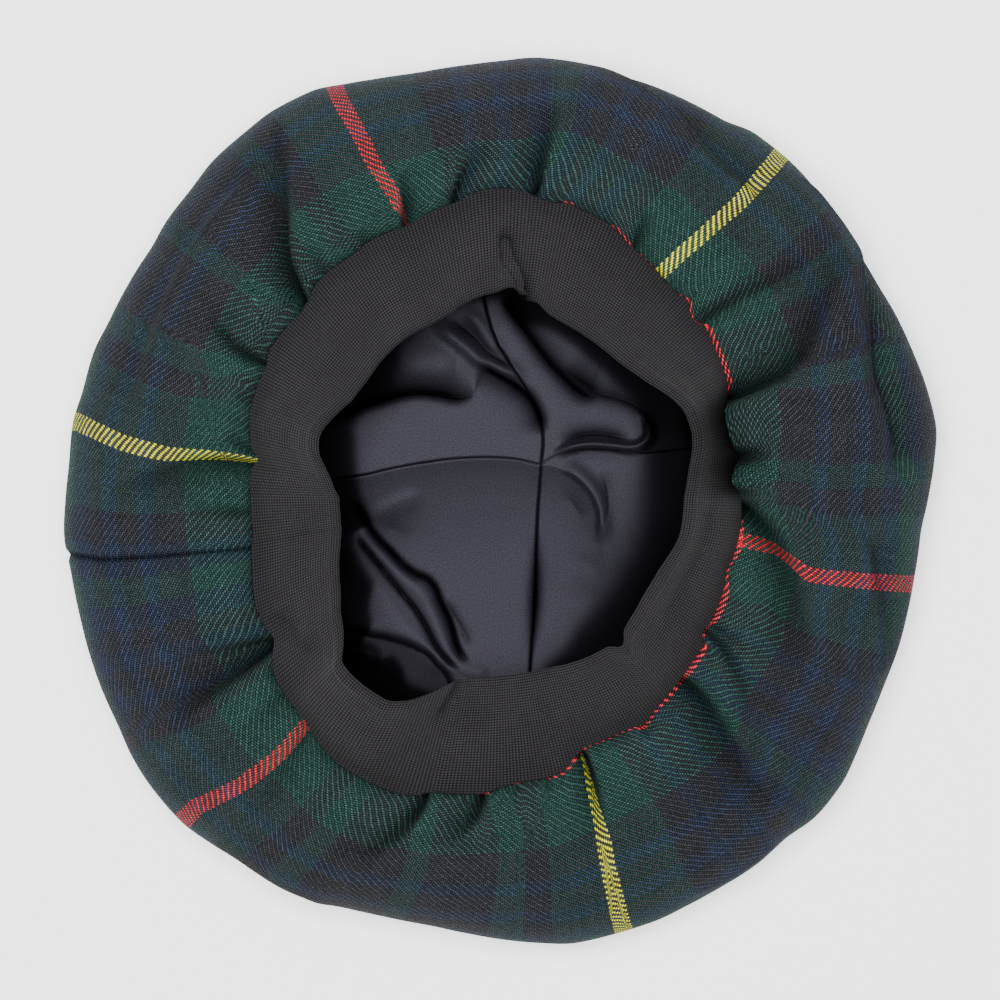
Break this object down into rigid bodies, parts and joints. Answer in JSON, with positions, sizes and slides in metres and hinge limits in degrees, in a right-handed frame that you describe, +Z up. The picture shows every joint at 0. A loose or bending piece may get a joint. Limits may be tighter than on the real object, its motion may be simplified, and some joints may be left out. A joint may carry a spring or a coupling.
{
  "type": "tam o'shanter",
  "caption": "Soft round tartan cap with a knitted headband and a lining, lying crown down with its opening up.",
  "frame": {"origin": "on the surface that the hat lies on, under the middle of the hat", "axes": "+Z up, out of the opening; +X to the picture's right and +Y to the picture's top"},
  "size_m": [0.2755, 0.2794, 0.0888],
  "materials": {
    "tartan_wool": "matte wool twill in a green, blue and black tartan with fine red and yellow lines",
    "knit_band": "matte fine knit, charcoal",
    "satin_lining": "soft sheen of black satin"
  },
  "bodies": {
    "root": {"tartan_ring": "tartan_wool", "crown": "tartan_wool", "headband": "knit_band", "lining_gore_top_right": "satin_lining", "lining_gore_top_left": "satin_lining", "lining_gore_bottom_left": "satin_lining", "lining_gore_bottom_right": "satin_lining"}
  },
  "joints": []
}
